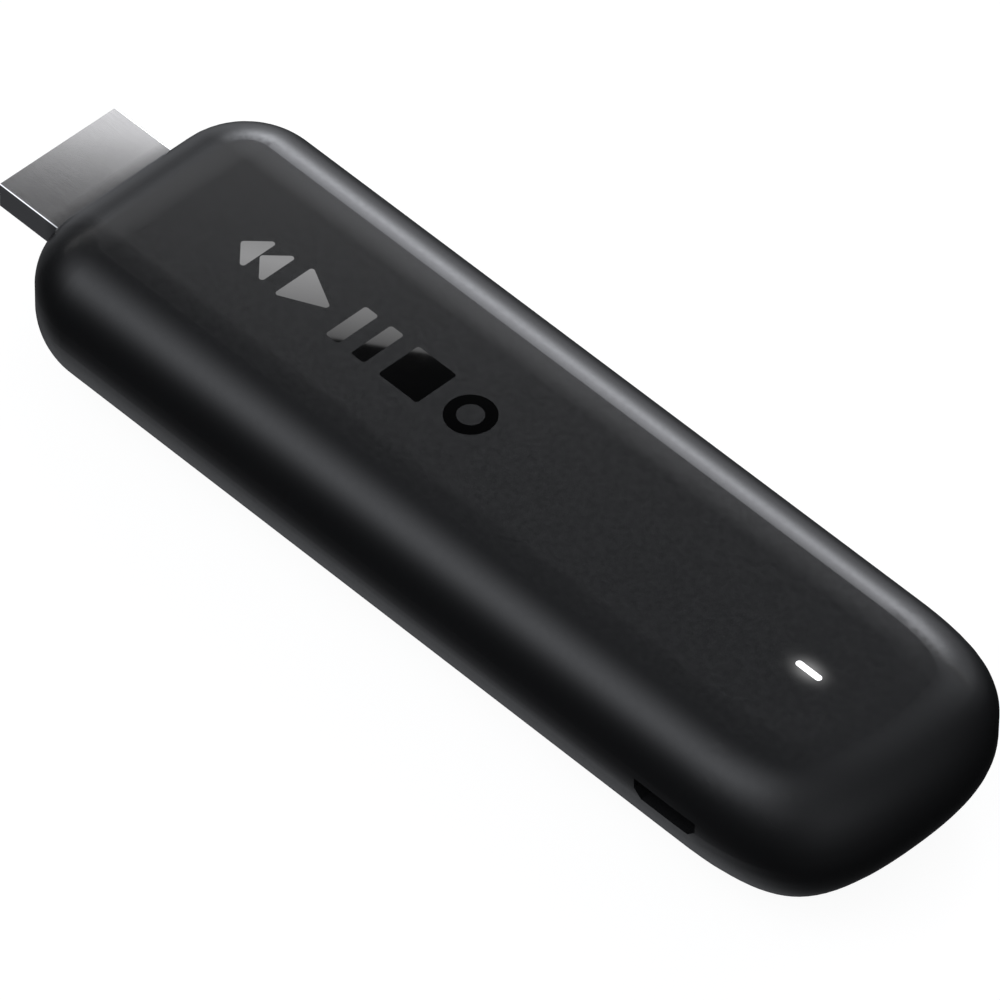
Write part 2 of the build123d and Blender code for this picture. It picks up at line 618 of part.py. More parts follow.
with BuildPart() as upper_shield_frame:
    shield_frame(BOARD_TOP, LID_TOP - 2 * SHEET, -10.6)
save(upper_shield_frame.part, "upper_shield_frame")
with BuildPart() as upper_shield_lid:
    shield_lid(BOARD_TOP + LID_LIFT, BOARD_TOP + LID_LIFT)
    rim_slots(BOARD_TOP + LID_LIFT)
save(upper_shield_lid.part, "upper_shield_lid")
with BuildPart() as lower_shield_frame:
    shield_frame(LID_UNDER + SHEET, LID_UNDER + SHEET, -6.0)
save(lower_shield_frame.part, "lower_shield_frame")
with BuildPart() as lower_shield_lid:
    shield_lid(LID_UNDER, LID_UNDER + SHEET)
    rim_slots(BOARD_UNDER - LID_LIFT - RIM_SLOT[1])
save(lower_shield_lid.part, "lower_shield_lid")


def soft_pad(centre, size, low, high):
    """Adds a soft heat-conducting pad that fills the gap between two faces."""
    with BuildSketch(Plane.XY.offset(low)) as footprint:
        with Locations(centre):
            RectangleRounded(*size, 0.3)
    extrude(footprint.sketch, amount=high - low)


with BuildPart() as processor_thermal_pad:
    soft_pad(PROCESSOR_PLACE, (12.0, 12.0), BOARD_TOP + PROCESSOR_HEIGHT, LID_TOP - SHEET)
save(processor_thermal_pad.part, "processor_thermal_pad")
with BuildPart() as upper_thermal_pad:
    soft_pad((-5.0, 0), (26.0, 15.0), LID_TOP, UPPER_PLATE_LOW)
save(upper_thermal_pad.part, "upper_thermal_pad")
with BuildPart() as storage_thermal_pad:
    soft_pad(STORAGE_PLACE, (12.0, 10.0), LID_UNDER + SHEET, BOARD_UNDER - STORAGE_HEIGHT)
save(storage_thermal_pad.part, "storage_thermal_pad")
with BuildPart() as lower_thermal_pad:
    soft_pad((-9.0, 0), (22.0, 13.0), LID_UNDER - PAD, LID_UNDER)
save(lower_thermal_pad.part, "lower_thermal_pad")

# ---- heat plates ------------------------------------------------------------------------------------
with BuildPart() as upper_heat_plate:
    with BuildSketch(Plane.XY.offset(UPPER_PLATE_LOW)):
        with Locations((SHIELD_CENTRE_X + 1, 0)):
            RectangleRounded(48.0, 21.0, 1.5)
    extrude(amount=SPREADER)
    with BuildSketch(Plane.XY.offset(UPPER_PLATE_LOW + SPREADER)):
        with Locations((SHIELD_CENTRE_X + 1, 0)):
            with GridLocations(1, 2.3, 1, 8):
                Rectangle(44.0, 0.9)
    extrude(amount=FIN_HEIGHT)
save(upper_heat_plate.part, "upper_heat_plate")

with BuildPart() as lower_heat_plate:
    with BuildSketch(Plane.XY.offset(LOWER_PLATE_LOW)):
        with Locations((SHIELD_CENTRE_X, 0)):
            RectangleRounded(36.0, 15.5, 1.2)
    extrude(amount=SPREADER)
save(lower_heat_plate.part, "lower_heat_plate")

# ---- radio module: its own small board, shield can and antenna ---------------------------------------
RADIO_X = 31.0
RADIO_Y = 3.4
RADIO_BOARD = (9.0, 11.0, 0.6)
RADIO_CAN = (8.2, 8.6, 1.3)
RADIO_CAN_PLACE = (RADIO_X, RADIO_Y - 0.7)
RADIO_TOP = BOARD_TOP + RADIO_BOARD[2]
with BuildPart() as radio_board:
    packages([(RADIO_X, RADIO_Y)], RADIO_BOARD[:2], RADIO_BOARD[2], BOARD_TOP, 0.2)
save(radio_board.part, "radio_board")
with BuildPart() as radio_shield:
    with BuildSketch(Plane.XY.offset(RADIO_TOP)):
        with Locations(RADIO_CAN_PLACE):
            RectangleRounded(RADIO_CAN[0], RADIO_CAN[1], 0.5)
    extrude(amount=RADIO_CAN[2])
    fillet(radio_shield.edges().group_by(Axis.Z)[-1], SHEET - 0.05)
    with BuildSketch(Plane.XY.offset(RADIO_TOP)):
        with Locations(RADIO_CAN_PLACE):
            RectangleRounded(RADIO_CAN[0] - 2 * SHEET, RADIO_CAN[1] - 2 * SHEET, 0.3)
    extrude(amount=RADIO_CAN[2] - SHEET, mode=Mode.SUBTRACT)
save(radio_shield.part, "radio_shield")

CONNECTOR_X = RADIO_X + 2.6
CONNECTOR_Y = RADIO_Y + 4.55
CONNECTOR_RADIUS = 0.9
with BuildPart() as antenna_connector:
    with BuildSketch(Plane.XY.offset(RADIO_TOP)):
        with Locations((CONNECTOR_X, CONNECTOR_Y)):
            Circle(CONNECTOR_RADIUS)
    extrude(amount=1.2)
    chamfer(antenna_connector.edges().group_by(Axis.Z)[-1], 0.12)
save(antenna_connector.part, "antenna_connector")

# The antenna is a thin strip stuck to the inside of the side wall.
ANTENNA_Y = 13.05
ANTENNA_SHEET = 0.15
ANTENNA_SIZE = (16.0, 2.6)
ANTENNA_PLACE = (31.5, 8.5)
ADHESIVE_OUT_Y = 13.65
with BuildPart() as wifi_antenna:
    with BuildSketch(Plane.XZ.offset(-ANTENNA_Y)):
        with Locations(ANTENNA_PLACE):
            Rectangle(*ANTENNA_SIZE)
        with Locations((ANTENNA_PLACE[0] - 1.5, ANTENNA_PLACE[1] + 0.35)):
            Rectangle(ANTENNA_SIZE[0] - 5, 0.5, mode=Mode.SUBTRACT)
    extrude(amount=-ANTENNA_SHEET)
save(wifi_antenna.part, "wifi_antenna")
with BuildPart() as antenna_adhesive:
    with BuildSketch(Plane.XZ.offset(-ANTENNA_Y - ANTENNA_SHEET)):
        with Locations(ANTENNA_PLACE):
            Rectangle(ANTENNA_SIZE[0] - 0.6, ANTENNA_SIZE[1] - 0.4)
    extrude(amount=-(ADHESIVE_OUT_Y - ANTENNA_Y - ANTENNA_SHEET))
save(antenna_adhesive.part, "antenna_adhesive")

# ---- coaxial lead from the radio module to the antenna, along its real route ---------------------------
LEAD_RADIUS = 0.4
LEAD_Z = RADIO_TOP + 0.75
LEAD_ROUTE = [
    (CONNECTOR_X + CONNECTOR_RADIUS, CONNECTOR_Y),
    (37.4, CONNECTOR_Y),
    (38.9, 10.3),
    (37.2, ANTENNA_Y - LEAD_RADIUS - 0.02),
    (33.8, ANTENNA_Y - LEAD_RADIUS - 0.02),
]


def bend_radii(route):
    """Each corner's largest arc: 0.45 of its shorter run over the tangent of half its turn."""
    runs = [Vector(*b) - Vector(*a) for a, b in zip(route, route[1:])]
    radii = []
    for before, after in zip(runs, runs[1:]):
        half_turn = math.radians(before.get_angle(after)) / 2
        radii.append(0.45 * min(before.length, after.length) / math.tan(half_turn))
    return radii


lead_radii = bend_radii(LEAD_ROUTE)
print("antenna lead's bend radii:", [round(r, 2) for r in lead_radii])
with BuildPart() as antenna_lead:
    with BuildLine() as lead_path:
        FilletPolyline(*[(x, y, LEAD_Z) for x, y in LEAD_ROUTE], radius=lead_radii)
    with BuildSketch(Plane(origin=lead_path.line @ 0, z_dir=lead_path.line % 0)):
        Circle(LEAD_RADIUS)
    sweep()
save(antenna_lead.part, "antenna_lead")
print("antenna lead's length:", round(sum(edge.length for edge in lead_path.edges()), 2))

# ---- small passives, in rows ----------------------------------------------------------------------------
SMALL_PART = (1.0, 0.5)
# centre x, centre y, columns, rows
CAPACITOR_BLOCKS = [(-31.0, 0.0, 2, 7), (18.6, 5.6, 3, 4), (18.6, -5.6, 3, 4), (46.3, 0.0, 2, 5)]
RESISTOR_BLOCKS = [(19.0, 0.0, 2, 4), (30.0, -7.2, 3, 3)]


def rows_of_parts(blocks, height):
    """Adds blocks of small soldered parts in columns and rows on the board's top."""
    with BuildSketch(Plane.XY.offset(BOARD_TOP)) as footprints:
        for x, y, columns, rows in blocks:
            with Locations((x, y)):
                with GridLocations(1.7, 1.1, columns, rows):
                    Rectangle(*SMALL_PART)
    extrude(footprints.sketch, amount=height)


with BuildPart() as capacitors:
    rows_of_parts(CAPACITOR_BLOCKS, 0.5)
save(capacitors.part, "capacitors")
with BuildPart() as resistors:
    rows_of_parts(RESISTOR_BLOCKS, 0.33)
save(resistors.part, "resistors")
with BuildPart() as filter_chokes:
    packages([(-34.6, (n - 1.5) * 2.4) for n in range(4)], (1.25, 1.9), 0.9, BOARD_TOP, 0.1)
save(filter_chokes.part, "filter_chokes")
with BuildPart() as bulk_capacitors:
    packages([(44.6, 6.2), (44.6, -6.2)], (1.6, 3.2), 1.5, BOARD_TOP, 0.12)
save(bulk_capacitors.part, "bulk_capacitors")
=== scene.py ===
import json
import math

import bpy
import numpy as np
from bpy.props import FloatProperty, FloatVectorProperty, PointerProperty
from bpy.types import Operator, Panel, PropertyGroup
from mathutils import Matrix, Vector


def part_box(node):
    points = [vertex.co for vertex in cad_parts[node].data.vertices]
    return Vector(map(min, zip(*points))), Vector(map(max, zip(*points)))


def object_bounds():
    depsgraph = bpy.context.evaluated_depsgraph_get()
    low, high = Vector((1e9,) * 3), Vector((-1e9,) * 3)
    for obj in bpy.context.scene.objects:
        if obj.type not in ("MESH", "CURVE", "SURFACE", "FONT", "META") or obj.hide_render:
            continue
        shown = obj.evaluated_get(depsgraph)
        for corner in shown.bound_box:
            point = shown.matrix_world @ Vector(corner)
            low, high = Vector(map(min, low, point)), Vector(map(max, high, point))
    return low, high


bl_info = {
    "name": "Streaming Stick",
    "version": (1, 0, 0),
    "blender": (4, 5, 0),
    "location": "3D View > Sidebar > Stick",
    "description": "Finishes and studio for a streaming media stick built round its CAD frame",
    "category": "Object",
}

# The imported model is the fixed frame. Every size below is in metres, in its axes: +X from the
# video plug to the light end, +Z up, with the power socket on the -Y side.
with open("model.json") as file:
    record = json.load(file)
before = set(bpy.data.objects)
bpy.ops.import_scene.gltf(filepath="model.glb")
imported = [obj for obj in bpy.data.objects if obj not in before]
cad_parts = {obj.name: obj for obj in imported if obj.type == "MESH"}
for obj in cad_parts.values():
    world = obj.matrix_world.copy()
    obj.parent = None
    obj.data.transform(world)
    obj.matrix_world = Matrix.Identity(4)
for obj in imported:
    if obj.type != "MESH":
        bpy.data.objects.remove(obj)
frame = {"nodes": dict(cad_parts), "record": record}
NODES = frame["nodes"]
TOP_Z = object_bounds()[1][2]
MM = 0.001


def node_box(name):
    """A node's lowest and highest corners as arrays."""
    low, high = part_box(name)
    return np.array(low), np.array(high)


HOUSING_LOW, HOUSING_HIGH = node_box("top_housing")
PLUG_HIGH = node_box("video_plug_shell")[1]
GUIDE_LOW, GUIDE_HIGH = node_box("light_guide")


# ---- measures of the finishes ------------------------------------------------------------------

# the status light's glow in the plastic: reach along each axis, and strength at its middle
HALO_CENTRE = (*(GUIDE_LOW + GUIDE_HIGH)[:2] / 2, TOP_Z)
HALO_REACH = (1.4 * MM, 0.9 * MM, 0.5 * MM)
HALO_GLOW = 0.22

# the soft start of the housing's rolled edges
ROLL = 5.5 * MM                         # radius of the top's rolled edge
SHOULDER = HOUSING_HIGH[1] - ROLL       # half the width of the flat top
SHOULDER_REACH = 2.6 * MM
SHOULDER_STEP = 0.2 * MM
WAIST_Z = 8.2 * MM                      # height of the sides' widest line
WAIST_REACH = 1.8 * MM
BOW_X = HOUSING_HIGH[0] - HOUSING_HIGH[1]   # where the light end starts to round off
BOW_POWER = 3.9                         # how square the light end's outline is
CORNER = 8.2 * MM                       # plan radius beside the plug
CORNER_X = HOUSING_LOW[0] + CORNER
CORNER_Y = HOUSING_HIGH[1] - CORNER

# the moulded plastic's spark-eroded grain, and the patches its shade changes over
FINE_GRAIN, COARSE_GRAIN = 0.16 * MM, 0.55 * MM
FINE_HEIGHT, COARSE_HEIGHT = 0.0015 * MM, 0.003 * MM
SHADE_PATCH = 16 * MM

# the plug's steel: drawing lines along X, a painted highlight along the top bends, and painted shade by
# the housing
DRAWN_LINE = 0.07 * MM
DRAWN_STRETCH = (0.05, 1, 1)    # a line is twenty times as long as it is wide
# colour of the painted highlight along the plug's top bends
PAINTED_HIGHLIGHT_COLOUR = (0.92, 0.92, 0.93)
HIGHLIGHT_FROM_SIDE = (0.26 * MM, 0.14 * MM)     # where the painted highlight starts and is full, in from the side
HIGHLIGHT_FROM_TOP = (0.30 * MM, 0.12 * MM)      # and down from the top
# painted shade on the steel by the housing: how far it reaches, and the factor it darkens the colour by
PAINTED_SHADE_REACH = 2.6 * MM
PAINTED_SHADE_LEVEL = 0.45

# the circuit board's copper under its mask
TRACK_PITCH = 1.6 * MM
PAD_PITCH = 2.1 * MM

# ---- measures of the studio --------------------------------------------------------------------

FLOOR_HALF = 3.0
FLOOR_DEPTH = -0.02 * MM        # just clear of the underside, which stands on it
FLOOR_GLOW = 0.94

# each glow's turn about +Z from +X and rise above the floor, in degrees, sharpness and radiance
STUDIO_GLOWS = (
    (128, 25, 60.0, 7.3),       # the strip behind the stick, on the plug's side
    (128, 8, 22.0, 0.70),       # its glow lower down
    (97, 32, 11.0, 0.95),       # and towards the light end
    (-131, 48, 11.7, 1.6),      # the softbox on the socket's side
    (-83, 39, 7.6, 0.38),       # its spill towards the light end
    (-8, 20, 3.8, 0.37),        # faint room light past the light end
    (-3, 81, 6.9, 0.29),        # overhead
    (-168, -64, 12.0, 0.27),    # light thrown up from the floor
    (152, -4, 12.0, 0.40),      # and low beyond the plug
)
STUDIO_TINT = (0.95, 0.975, 1.03)   # faintly cool
# turn, rise and sharpness of the dark part of the sky that the flat top reflects
DARK_PATCH = (136, 47, 55.0)

# the card that the mark reflects: CARD_PLACE is where its near edge shows in the mark, and a ray
# from the camera leaves there along MIRRORED_RAY
CARD_HEIGHT = 0.12
CARD_PLACE = (-0.0165, 0.0, TOP_Z)
MIRRORED_RAY = (-0.683, 0.666, 1.0)
CARD_ALONG = (0.83, 0.557, 0.0)     # direction of its near edge
CARD_AWAY = (-0.557, 0.83, 0.0)     # and across it
CARD_HALF = 0.25
CARD_REACH = 46 * MM
CARD_FADE = 36 * MM                 # the way over it in which its glow grows
# the glow at its near edge; then shares of that way, with the glow there
CARD_START = 0.045
CARD_RAMP = ((0.25, 0.15), (0.6, 0.075), (0.8, 0.18), (1.0, 1.0))

CAMERA_PLACE = (0.63411, -0.61610, 0.93280)
CAMERA_RIGHT = (0.69235, 0.72152, 0.00752)
CAMERA_UP = (-0.52578, 0.49733, 0.69009)


# ---- properties ------------------------------------------------------------------------------


class StickFinish(PropertyGroup):
    """Colours and surface values that a user would change."""

    housing_colour: FloatVectorProperty(
        name="Housing colour", description="Colour of the moulded black plastic",
        subtype="COLOR", size=3, min=0, max=1, default=(0.0136, 0.0138, 0.0144))
    housing_roughness: FloatProperty(
        name="Housing roughness", description="How matt the moulded plastic is",
        min=0, max=1, default=0.24)
    steel_colour: FloatVectorProperty(
        name="Steel colour", description="Colour of the plug's satin steel",
        subtype="COLOR", size=3, min=0, max=1, default=(0.40, 0.40, 0.41))
    light_colour: FloatVectorProperty(
        name="Status light colour", description="Colour of the light in the top",
        subtype="COLOR", size=3, min=0, max=1, default=(1.0, 1.0, 1.0))
    light_strength: FloatProperty(
        name="Status light strength", description="How brightly the status light glows",
        min=0, max=50, default=1.4)


class StickStage(PropertyGroup):
    """The studio's floor, light and lens."""

    floor_colour: FloatVectorProperty(
        name="Floor colour", description="Colour of the pale floor",
        subtype="COLOR", size=3, min=0, max=1, default=(0.16, 0.16, 0.16))
    glow: FloatProperty(
        name="Studio glow", description="Brightness of all the studio's light together",
        min=0, max=10, default=1.0)
    card_glow: FloatProperty(
        name="Card glow", description="Radiance of the small card that the glossy mark reflects",
        min=0, max=10, default=2.2)
    lens: FloatProperty(
        name="Lens", description="Focal length of the camera for a 36 mm sensor",
        unit="CAMERA", min=1, max=2000, default=537.7)


# ---- shader helpers ----------------------------------------------------------------------------


def new_material(name):
    """A material with its Principled shader and an Object-coordinate socket."""
    material = bpy.data.materials.new(name)
    material.use_nodes = True
    tree = material.node_tree
    shader = tree.nodes["Principled BSDF"]
    place = tree.nodes.new("ShaderNodeTexCoord").outputs["Object"]
    return material, tree, shader, place


def feed(tree, value, socket):
    """Links a value to a socket, or sets a plain one on it."""
    if isinstance(value, bpy.types.NodeSocket):
        tree.links.new(value, socket)
    else:
        socket.default_value = value


def noise(tree, place, size, detail=2.0, stretch=(1, 1, 1)):
    """Fractal noise of a size in metres over a place, stretched along an axis where wanted."""
    mapping = tree.nodes.new("ShaderNodeMapping")
    mapping.inputs["Scale"].default_value = stretch
    tree.links.new(place, mapping.inputs["Vector"])
    texture = tree.nodes.new("ShaderNodeTexNoise")
    texture.inputs["Scale"].default_value = 1 / size
    texture.inputs["Detail"].default_value = detail
    tree.links.new(mapping.outputs["Vector"], texture.inputs["Vector"])
    return texture.outputs["Fac"]


def spread(tree, value, low, high, start=0.3, end=0.7, interpolation="LINEAR"):
    """Maps a value to low where it is at start, to high where it is at end, and holds it there."""
    node = tree.nodes.new("ShaderNodeMapRange")
    node.interpolation_type = interpolation
    node.inputs["From Min"].default_value = start
    node.inputs["From Max"].default_value = end
    node.inputs["To Min"].default_value = low
    node.inputs["To Max"].default_value = high
    tree.links.new(value, node.inputs["Value"])
    return node.outputs["Result"]


def calculate(tree, operation, *values):
    """One math step on linked values and plain numbers."""
    node = tree.nodes.new("ShaderNodeMath")
    node.operation = operation
    for value, socket in zip(values, node.inputs):
        feed(tree, value, socket)
    return node.outputs["Value"]


def calculate_vector(tree, operation, *values, result="Vector"):
    """One vector math step on linked places or colours and plain triples."""
    node = tree.nodes.new("ShaderNodeVectorMath")
    node.operation = operation
    for value, socket in zip(values, node.inputs):
        feed(tree, value, socket)
    return node.outputs[result]


def axes(tree, place):
    """The X, Y and Z of a place."""
    split = tree.nodes.new("ShaderNodeSeparateXYZ")
    tree.links.new(place, split.inputs["Vector"])
    return split.outputs["X"], split.outputs["Y"], split.outputs["Z"]


def blend_colour(tree, value, first, second):
    """Mixes two colours, plain or linked, by a value."""
    node = tree.nodes.new("ShaderNodeMix")
    node.data_type = "RGBA"
    tree.links.new(value, node.inputs["Factor"])
    for socket, colour in ((node.inputs["A"], first), (node.inputs["B"], second)):
        feed(tree, (*colour, 1) if isinstance(colour, tuple) else colour, socket)
    return node.outputs["Result"]


def bump(tree, shader, height, distance, strength=1.0, under=None):
    """Adds a bump from a height value, on top of another bump if one is given."""
    node = tree.nodes.new("ShaderNodeBump")
    node.inputs["Distance"].default_value = distance
    node.inputs["Strength"].default_value = strength
    tree.links.new(height, node.inputs["Height"])
    if under is not None:
        tree.links.new(under, node.inputs["Normal"])
    tree.links.new(node.outputs["Normal"], shader.inputs["Normal"])
    return node.outputs["Normal"]


def tinted(colour, factor):
    """A colour made lighter or darker by a factor."""
    return tuple(min(1.0, channel * factor) for channel in colour)


def speckled(name, colour, roughness, grain, height, metallic=0.0, contrast=0.12):
    """A finish with a fine grain: roughness and height vary with it, and colour more broadly."""
    material, tree, shader, place = new_material(name)
    fine = noise(tree, place, grain, 3.0)
    broad = noise(tree, place, grain * 14)
    colours = blend_colour(tree, broad, tinted(colour, 1 - contrast), tinted(colour, 1 + contrast))
    tree.links.new(colours, shader.inputs["Base Color"])
    tree.links.new(spread(tree, fine, roughness * 0.9, roughness * 1.1), shader.inputs["Roughness"])
    shader.inputs["Metallic"].default_value = metallic
    bump(tree, shader, fine, height)
    return material


def halo(tree, place):
    """A glow in the plastic round the status light, exp(-distance^2), with the distance measured
    in HALO_REACH along each axis."""
    offset = calculate_vector(tree, "SUBTRACT", place, HALO_CENTRE)
    squeezed = calculate_vector(tree, "MULTIPLY", offset, tuple(1 / reach for reach in HALO_REACH))
    distance = calculate_vector(tree, "LENGTH", squeezed, result="Value")
    squared = calculate(tree, "POWER", distance, 2.0)
    fading = calculate(tree, "EXPONENT", calculate(tree, "MULTIPLY", squared, -1.0))
    return calculate(tree, "MULTIPLY", fading, HALO_GLOW)


def past(tree, value, edge):
    """How far a value is past an edge, or 0 where it isn't."""
    return calculate(tree, "MAXIMUM", calculate(tree, "SUBTRACT", value, edge), 0.0)


def rounded_sum(tree, first, second, power):
    """(first^power + second^power)^(1/power): the same all along a rounded corner."""
    powers = (calculate(tree, "POWER", value, power) for value in (first, second))
    return calculate(tree, "POWER", calculate(tree, "ADD", *powers), 1 / power)


def shoulder(tree, place):
    """A height that makes the rolled edges start gently. It falls by one step where the flat top
    runs out into its roll, along the line that the roll starts on: |y|^n + x^n at the light end,
    and round corners beside the plug. It swells by exp(-z^2) along the middle of the sides."""
    x, y, z = axes(tree, place)
    aside = calculate(tree, "ABSOLUTE", y)
    ahead = past(tree, x, BOW_X)
    shares = (calculate(tree, "MULTIPLY", value, 1 / SHOULDER) for value in (aside, ahead))
    bow = calculate(tree, "MULTIPLY", rounded_sum(tree, *shares, BOW_POWER), SHOULDER)
    behind = past(tree, calculate(tree, "MULTIPLY", x, -1.0), -CORNER_X)
    corner = rounded_sum(tree, behind, past(tree, aside, CORNER_Y), 2.0)
    outward = calculate(tree, "MAXIMUM", bow, calculate(tree, "ADD", corner, CORNER_Y))
    step = spread(tree, outward, 1, 0, SHOULDER - SHOULDER_REACH, SHOULDER + SHOULDER_REACH, "SMOOTHSTEP")
    rise = calculate(tree, "MULTIPLY", calculate(tree, "SUBTRACT", z, WAIST_Z), 1 / WAIST_REACH)
    falling = calculate(tree, "MULTIPLY", calculate(tree, "POWER", rise, 2.0), -1.0)
    return calculate(tree, "ADD", step, calculate(tree, "EXPONENT", falling))


def housing_plastic(finish, name, lit_top):
    """Satin-matt black moulding with a fine spark-eroded grain; the top housing also has a gently
    started roll and the status light's soft halo."""
    material, tree, shader, place = new_material(name)
    colour = tuple(finish.housing_colour)
    fine = noise(tree, place, FINE_GRAIN)
    coarse = noise(tree, place, COARSE_GRAIN)
    broad = noise(tree, place, SHADE_PATCH)
    colours = blend_colour(tree, broad, tinted(colour, 0.94), tinted(colour, 1.06))
    tree.links.new(colours, shader.inputs["Base Color"])
    rough = finish.housing_roughness
    tree.links.new(spread(tree, coarse, rough - 0.02, rough + 0.02), shader.inputs["Roughness"])
    under = bump(tree, shader, coarse, COARSE_HEIGHT, 0.25)
    under = bump(tree, shader, fine, FINE_HEIGHT, 0.25, under)
    if lit_top:
        bump(tree, shader, shoulder(tree, place), SHOULDER_STEP, 1.0, under)
        tree.links.new(halo(tree, place), shader.inputs["Emission Strength"])
        shader.inputs["Emission Color"].default_value = (*finish.light_colour, 1)
    return material


def plug_steel(finish):
    """Nickel-plated steel with faint drawing lines along X."""
    material, tree, shader, place = new_material("satin_plug_steel")
    lines = noise(tree, place, DRAWN_LINE, 3.0, DRAWN_STRETCH)
    cloud = noise(tree, place, 3 * MM)
    colour = tuple(finish.steel_colour)
    steel = blend_colour(tree, cloud, tinted(colour, 0.95), tinted(colour, 1.05))
    x, y, z = axes(tree, place)
    # the bends along the top are lightened with a painted highlight
    near_side = spread(tree, calculate(tree, "ABSOLUTE", y), 0, 1,
                       *(PLUG_HIGH[1] - inset for inset in HIGHLIGHT_FROM_SIDE))
    near_top = spread(tree, z, 0, 1, *(PLUG_HIGH[2] - inset for inset in HIGHLIGHT_FROM_TOP))
    painted_highlight = calculate(tree, "MULTIPLY", near_side, near_top)
    steel = blend_colour(tree, painted_highlight, steel, PAINTED_HIGHLIGHT_COLOUR)
    # and the steel is darkened with painted shade where it comes out of the housing
    unshaded = spread(tree, x, 0, 1, HOUSING_LOW[0], HOUSING_LOW[0] - PAINTED_SHADE_REACH)
    painted_shade = blend_colour(tree, unshaded, tinted(colour, PAINTED_SHADE_LEVEL), (1.0, 1.0, 1.0))
    tree.links.new(calculate_vector(tree, "MULTIPLY", steel, painted_shade), shader.inputs["Base Color"])
    tree.links.new(spread(tree, lines, 0.09, 0.12), shader.inputs["Roughness"])
    shader.inputs["Metallic"].default_value = 1.0
    bump(tree, shader, lines, 0.0003 * MM, 0.2)
    return material


def glossy_inlay():
    """Polished mirror of the mark, which looks black where the studio is dark."""
    material, tree, shader, place = new_material("black_mirror_inlay")
    haze = noise(tree, place, 1.2 * MM)
    tree.links.new(spread(tree, haze, 0.018, 0.026), shader.inputs["Roughness"])
    tree.links.new(blend_colour(tree, haze, (0.84, 0.84, 0.85), (0.88, 0.88, 0.89)),
                   shader.inputs["Base Color"])
    shader.inputs["Metallic"].default_value = 1.0
    return material


def lit_guide(finish):
    """Clear guide, lit through its length and brightest at its upper end."""
    material, tree, shader, place = new_material("lit_light_guide")
    height = axes(tree, place)[2]
    glow = spread(tree, height, 0.15, finish.light_strength, GUIDE_LOW[2], GUIDE_HIGH[2])
    tree.links.new(glow, shader.inputs["Emission Strength"])
    haze = noise(tree, place, 0.5 * MM)
    tree.links.new(blend_colour(tree, haze, (0.90, 0.92, 0.95), (0.97, 0.98, 1.0)),
                   shader.inputs["Base Color"])
    shader.inputs["Emission Color"].default_value = (*finish.light_colour, 1)
    shader.inputs["Roughness"].default_value = 0.3
    return material


def circuit_board():
    """Solder mask over copper: fine tracks show as lighter lines, with bare pads here and there."""
    material, tree, shader, place = new_material("solder_mask_board")
    tracks = tree.nodes.new("ShaderNodeTexBrick")
    tracks.inputs["Scale"].default_value = 1 / TRACK_PITCH
    tracks.inputs["Mortar Size"].default_value = 0.03
    tracks.inputs["Color1"].default_value = (0.008, 0.060, 0.032, 1)
    tracks.inputs["Color2"].default_value = (0.010, 0.075, 0.040, 1)
    tracks.inputs["Mortar"].default_value = (0.030, 0.150, 0.085, 1)
    tree.links.new(place, tracks.inputs["Vector"])
    pads = tree.nodes.new("ShaderNodeTexVoronoi")
    pads.inputs["Scale"].default_value = 1 / PAD_PITCH
    tree.links.new(place, pads.inputs["Vector"])
    bare = spread(tree, pads.outputs["Distance"], 1.0, 0.0, 0.10, 0.12)
    tree.links.new(blend_colour(tree, bare, tracks.outputs["Color"], (0.75, 0.60, 0.30)),
                   shader.inputs["Base Color"])
    tree.links.new(bare, shader.inputs["Metallic"])
    fine = noise(tree, place, 0.3 * MM)
    tree.links.new(spread(tree, fine, 0.25, 0.4), shader.inputs["Roughness"])
    bump(tree, shader, tracks.outputs["Fac"], 0.01 * MM, 0.5)
    return material


def make_finishes(finish):
    """One material for each of the record's slots, and one for the underside. A speckled finish
    gives its colour, roughness, size and height of grain, and 1.0 for a metal."""
    return {
        "housing_plastic": housing_plastic(finish, "moulded_black_top", True),
        "underside_plastic": housing_plastic(finish, "moulded_black_underside", False),
        "mark_gloss": glossy_inlay(),
        "clear_guide": lit_guide(finish),
        "led_resin": speckled("phosphor_resin", (0.85, 0.75, 0.30), 0.4, 0.05 * MM, 0.002 * MM),
        "plug_steel": plug_steel(finish),
        "moulded_black": speckled(
            "glass_filled_moulding", (0.012, 0.012, 0.013), 0.45, 0.1 * MM, 0.003 * MM),
        "contact_gold": speckled(
            "gold_plated_contacts", (0.90, 0.66, 0.28), 0.24, 0.08 * MM, 0.001 * MM, 1.0),
        "board_green": circuit_board(),
        "chip_resin": speckled("chip_moulding", (0.022, 0.022, 0.024), 0.5, 0.09 * MM, 0.004 * MM),
        "tinned_steel": speckled("tin_plated_sheet", (0.66, 0.66, 0.65), 0.3, 0.5 * MM, 0.002 * MM, 1.0),
        "heat_aluminium": speckled(
            "blasted_aluminium", (0.72, 0.73, 0.75), 0.45, 0.12 * MM, 0.006 * MM, 1.0),
        "thermal_pad": speckled("silicone_pad", (0.30, 0.42, 0.55), 0.75, 0.2 * MM, 0.01 * MM),
        "screw_steel": speckled("dark_zinc_screw", (0.25, 0.25, 0.26), 0.32, 0.15 * MM, 0.002 * MM, 1.0),
        "ceramic_tan": speckled("capacitor_ceramic", (0.42, 0.30, 0.18), 0.5, 0.08 * MM, 0.002 * MM),
        "ferrite": speckled("sintered_ferrite", (0.05, 0.05, 0.055), 0.6, 0.07 * MM, 0.003 * MM),
        "tantalum_body": speckled("tantalum_moulding", (0.70, 0.42, 0.08), 0.45, 0.1 * MM, 0.002 * MM),
        "copper_foil": speckled("copper_film", (0.80, 0.42, 0.25), 0.3, 0.2 * MM, 0.001 * MM, 1.0),
        "foam_black": speckled(
            "closed_cell_foam", (0.02, 0.02, 0.02), 0.9, 0.15 * MM, 0.03 * MM, contrast=0.3),
        "lead_jacket": speckled("lead_jacket", (0.03, 0.03, 0.033), 0.4, 0.1 * MM, 0.001 * MM),
    }


# ---- stage -------------------------------------------------------------------------------------


